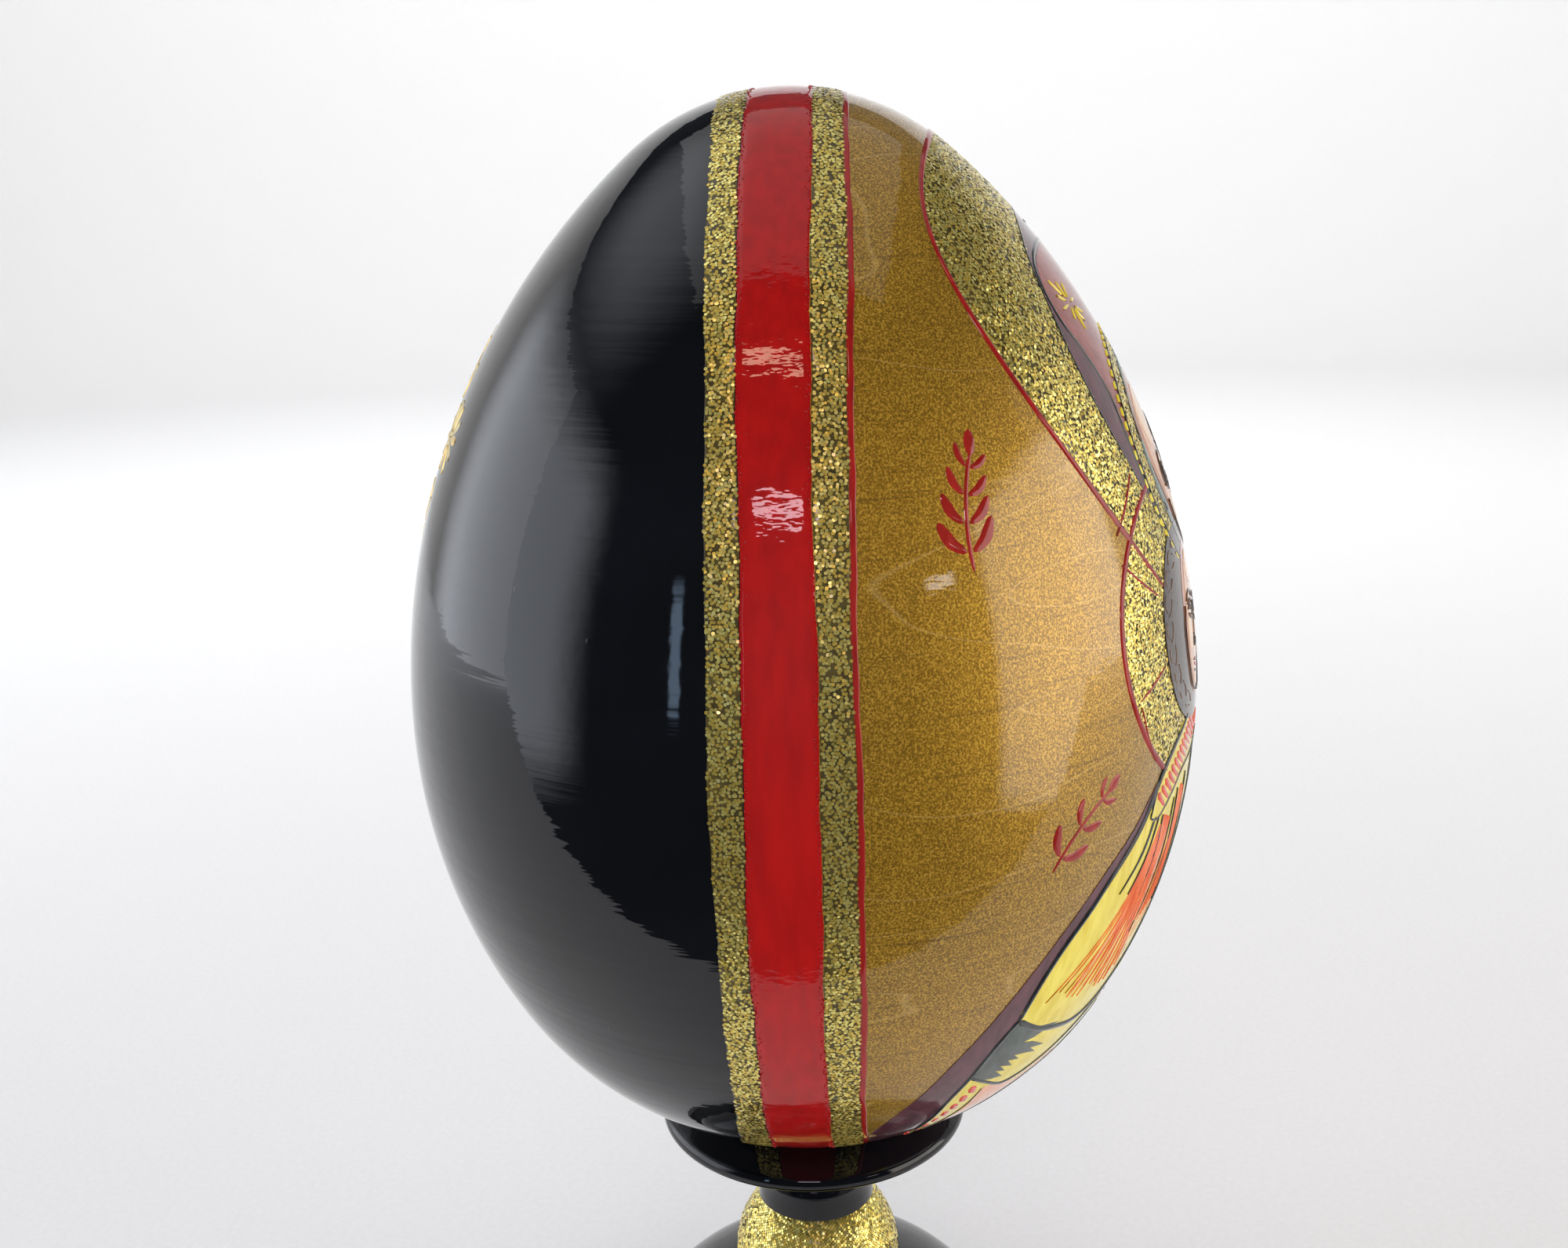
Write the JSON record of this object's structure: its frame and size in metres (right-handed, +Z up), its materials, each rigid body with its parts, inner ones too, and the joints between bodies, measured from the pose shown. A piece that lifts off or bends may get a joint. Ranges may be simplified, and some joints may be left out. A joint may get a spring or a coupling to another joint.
{
  "type": "painted wooden egg on a turned stand",
  "caption": "Large turned wooden display egg, painted, glittered and lacquered, standing blunt end down on a turned stand with a dish, a ball and a domed foot.",
  "frame": {"origin": "centre of the foot's flat underside, on the table", "axes": "+Z up along the turning axis; the painted picture side of the egg faces -Y, the black side +Y, and the red bands lie at -X and +X"},
  "size_m": [0.104, 0.104, 0.1981],
  "materials": {
    "painted_egg": "hand-painted linden under clear gloss lacquer",
    "black_lacquer": "black gloss lacquer over turned wood",
    "gold_glitter": "gold glitter flakes under clear gloss lacquer",
    "bare_wood": "bare turned beech"
  },
  "bodies": {
    "stand": {"dish": "black_lacquer", "gold_ball": "gold_glitter", "foot": "black_lacquer", "centre_dowel": "bare_wood"},
    "egg": {"egg": "painted_egg"}
  },
  "joints": [
    {"name": "egg_lift", "type": "slide", "parent": "stand", "child": "egg", "axis": [0, 0, 1], "range_m": [0, 0.03]}
  ]
}
